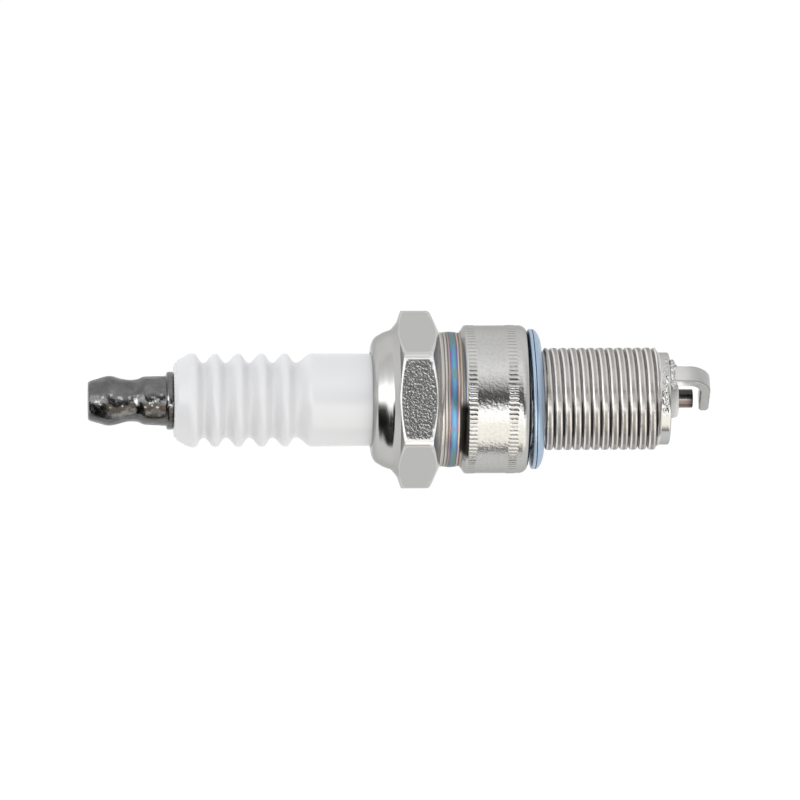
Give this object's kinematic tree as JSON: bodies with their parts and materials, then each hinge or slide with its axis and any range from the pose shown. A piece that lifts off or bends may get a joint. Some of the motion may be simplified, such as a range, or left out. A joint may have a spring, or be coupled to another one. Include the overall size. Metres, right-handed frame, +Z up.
{
  "type": "spark plug",
  "caption": "Long-reach spark plug with a ball terminal nut, ribbed insulator, hexagon shell, screw thread, captive gasket and bent ground electrode.",
  "frame": {"origin": "on the floor under the middle of the plug's length: z = 0 is the lowest flat of the hexagon, y = 0 is the plug's axis", "axes": "+X along the plug's axis from the terminal nut to the firing end, +Z up through the middle of a hexagon flat"},
  "size_m": [0.0832, 0.0238, 0.0208],
  "materials": {
    "nickel_plate": "gloss",
    "terminal_steel": "satin",
    "stud_steel": "satin",
    "glazed_alumina": "gloss",
    "glass_seal": "satin",
    "resistor_body": "matte",
    "nickel_alloy": "satin",
    "copper": "satin",
    "talc": "matte",
    "packing_steel": "satin",
    "blued_zinc": "gloss"
  },
  "bodies": {
    "plug": {"terminal_stud": "stud_steel", "insulator": "glazed_alumina", "upper_glass_seal": "glass_seal", "resistor": "resistor_body", "lower_glass_seal": "glass_seal", "centre_electrode": "nickel_alloy", "centre_electrode_core": "copper", "shell": "nickel_plate", "upper_packing_ring": "packing_steel", "talc_packing": "talc", "lower_packing_ring": "packing_steel", "inner_seat_packing": "packing_steel", "ground_electrode": "nickel_alloy"},
    "nut": {"terminal_nut": "terminal_steel"},
    "washer": {"gasket": "blued_zinc"}
  },
  "joints": [
    {"name": "terminal_nut_unscrew", "type": "slide", "parent": "plug", "child": "nut", "axis": [-1, 0, 0], "range_m": [0, 0.01]},
    {"name": "gasket_float", "type": "slide", "parent": "plug", "child": "washer", "axis": [1, 0, 0], "range_m": [-0.00015, 0.0006]}
  ]
}
